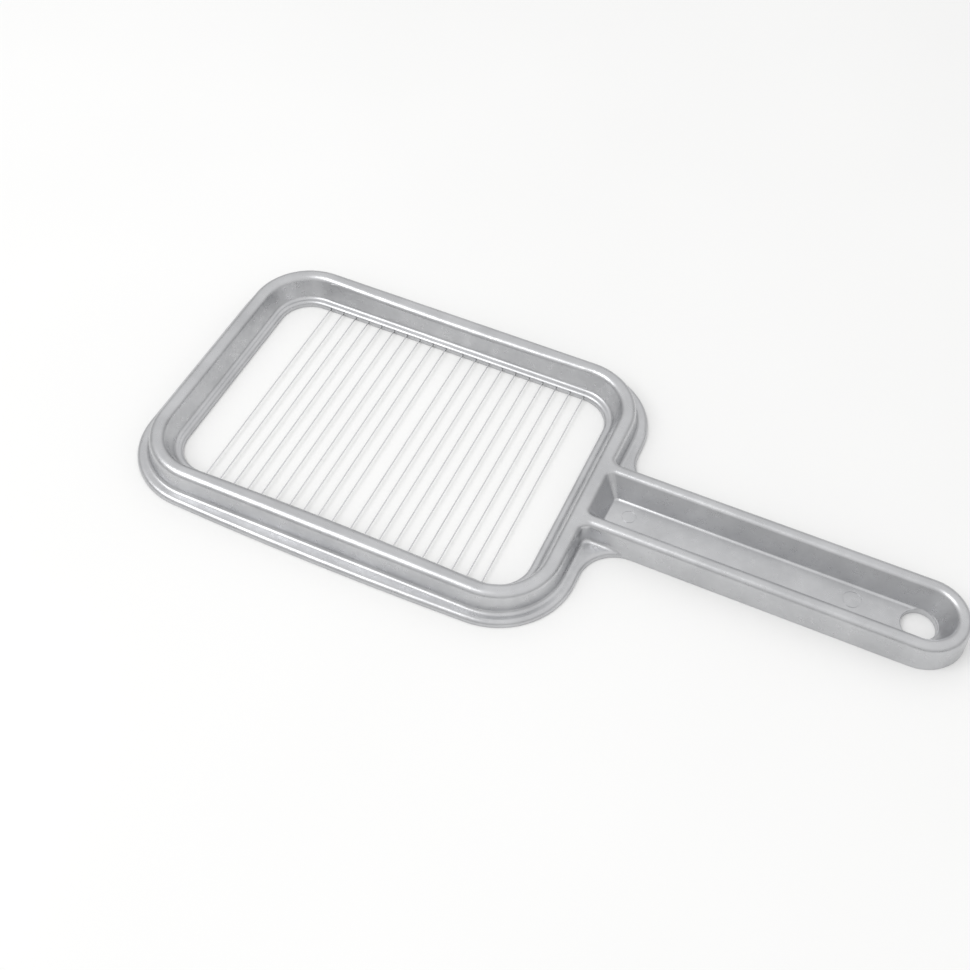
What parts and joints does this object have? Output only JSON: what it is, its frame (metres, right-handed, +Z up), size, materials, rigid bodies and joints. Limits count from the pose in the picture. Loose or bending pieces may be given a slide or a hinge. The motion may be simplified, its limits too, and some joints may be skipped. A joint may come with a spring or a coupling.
{
  "type": "wire food slicer",
  "caption": "Hand-held slicer for soft food: a rounded metal ring strung with parallel wires, with a flat trough-shaped grip and a hanging hole.",
  "frame": {"origin": "centre of the part's footprint, on the plane it rests on", "axes": "+X from the ring along the grip to its rounded end, +Y across the grip to the left when looking along +X, +Z up out of the open side of the trough; the wires run along Y"},
  "size_m": [0.2632, 0.1138, 0.0096],
  "materials": {
    "cast_aluminium": "tumbled satin",
    "wire_steel": "drawn bright",
    "ferrule_metal": "satin"
  },
  "bodies": {
    "root": {"frame_casting": "cast_aluminium", "cutting_wire_01": "wire_steel", "cutting_wire_02": "wire_steel", "cutting_wire_03": "wire_steel", "cutting_wire_04": "wire_steel", "cutting_wire_05": "wire_steel", "cutting_wire_06": "wire_steel", "cutting_wire_07": "wire_steel", "cutting_wire_08": "wire_steel", "cutting_wire_09": "wire_steel", "cutting_wire_10": "wire_steel", "cutting_wire_11": "wire_steel", "cutting_wire_12": "wire_steel", "cutting_wire_13": "wire_steel", "cutting_wire_14": "wire_steel", "cutting_wire_15": "wire_steel", "cutting_wire_16": "wire_steel", "cutting_wire_17": "wire_steel", "cutting_wire_18": "wire_steel", "cutting_wire_19": "wire_steel", "cutting_wire_20": "wire_steel", "wire_ferrules_left": "ferrule_metal", "wire_ferrules_right": "ferrule_metal"}
  },
  "joints": []
}
